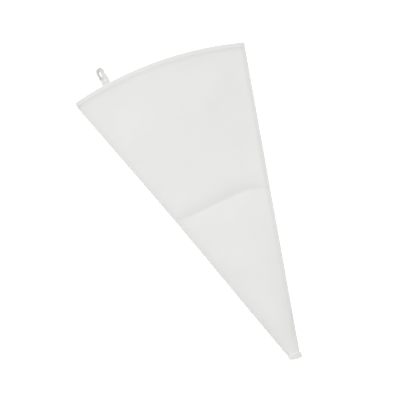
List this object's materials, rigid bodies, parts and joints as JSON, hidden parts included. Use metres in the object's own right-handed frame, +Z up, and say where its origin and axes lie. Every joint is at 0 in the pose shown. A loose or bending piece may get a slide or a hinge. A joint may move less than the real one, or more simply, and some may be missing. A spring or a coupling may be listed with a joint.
{
  "type": "piping bag",
  "caption": "Reusable cloth piping bag lying flat: a long tapering cone with a stitched side seam, hemmed mouth and tip, a hanging loop and a crease across the middle.",
  "frame": {"origin": "bottom centre of the whole bag, on the surface that it lies on, the hanging loop included", "axes": "+Y along the bag towards the mouth, +X across it to the right as seen from above with the mouth away, +Z up out of the front wall"},
  "size_m": [0.2184, 0.421, 0.0147],
  "materials": {
    "coated_cloth": "off-white cotton cloth with a soft satin coating",
    "loop_tape": "matte woven cotton tape",
    "thread": "matte spun sewing thread"
  },
  "bodies": {
    "root": {"back_wall_mouth_half": "coated_cloth", "back_hem": "coated_cloth", "back_hem_stitching": "thread", "side_seam_mouth_half": "coated_cloth", "side_seam_stitching_mouth_half": "thread", "loop_sewn_end": "loop_tape", "loop_bartack": "thread"},
    "front_middle": {"front_wall_middle": "coated_cloth", "front_hem_middle": "coated_cloth", "front_hem_stitching_middle": "thread"},
    "front_left": {"front_wall_left": "coated_cloth", "front_hem_left": "coated_cloth", "front_hem_stitching_left": "thread"},
    "front_right": {"front_wall_right": "coated_cloth", "front_hem_right": "coated_cloth", "front_hem_stitching_right": "thread"},
    "hanging_loop": {"hanging_loop": "loop_tape"},
    "tip_half": {"back_wall_tip_half": "coated_cloth", "front_wall_tip_half": "coated_cloth", "side_seam_tip_half": "coated_cloth", "side_seam_stitching_tip_half": "thread", "tip_hem": "coated_cloth", "tip_stitching": "thread"}
  },
  "joints": [
    {"name": "centre_fold", "type": "hinge", "parent": "root", "child": "tip_half", "pos_m": [0.00276, 0.00414, 0.0034], "axis": [-1, 0, 0], "range_deg": [0, 155]},
    {"name": "mouth_open", "type": "hinge", "parent": "root", "child": "front_middle", "pos_m": [0.00276, 0.00474, 0.003], "axis": [1, 0, 0], "range_deg": [0, 16]},
    {"name": "left_side_lift", "type": "hinge", "parent": "root", "child": "front_left", "pos_m": [0.00276, 0.00474, 0.003], "axis": [1, 0, 0], "range_deg": [0, 8.6]},
    {"name": "right_side_lift", "type": "hinge", "parent": "root", "child": "front_right", "pos_m": [0.00276, 0.00474, 0.003], "axis": [1, 0, 0], "range_deg": [0, 8.6]},
    {"name": "loop_swing", "type": "hinge", "parent": "root", "child": "hanging_loop", "pos_m": [-0.06424, 0.18926, 0.0029], "axis": [1, 0, 0], "range_deg": [0, 90]}
  ],
  "couplings": [
    {"joint": "left_side_lift", "follows": "mouth_open", "ratio": 0.536},
    {"joint": "right_side_lift", "follows": "mouth_open", "ratio": 0.536}
  ]
}
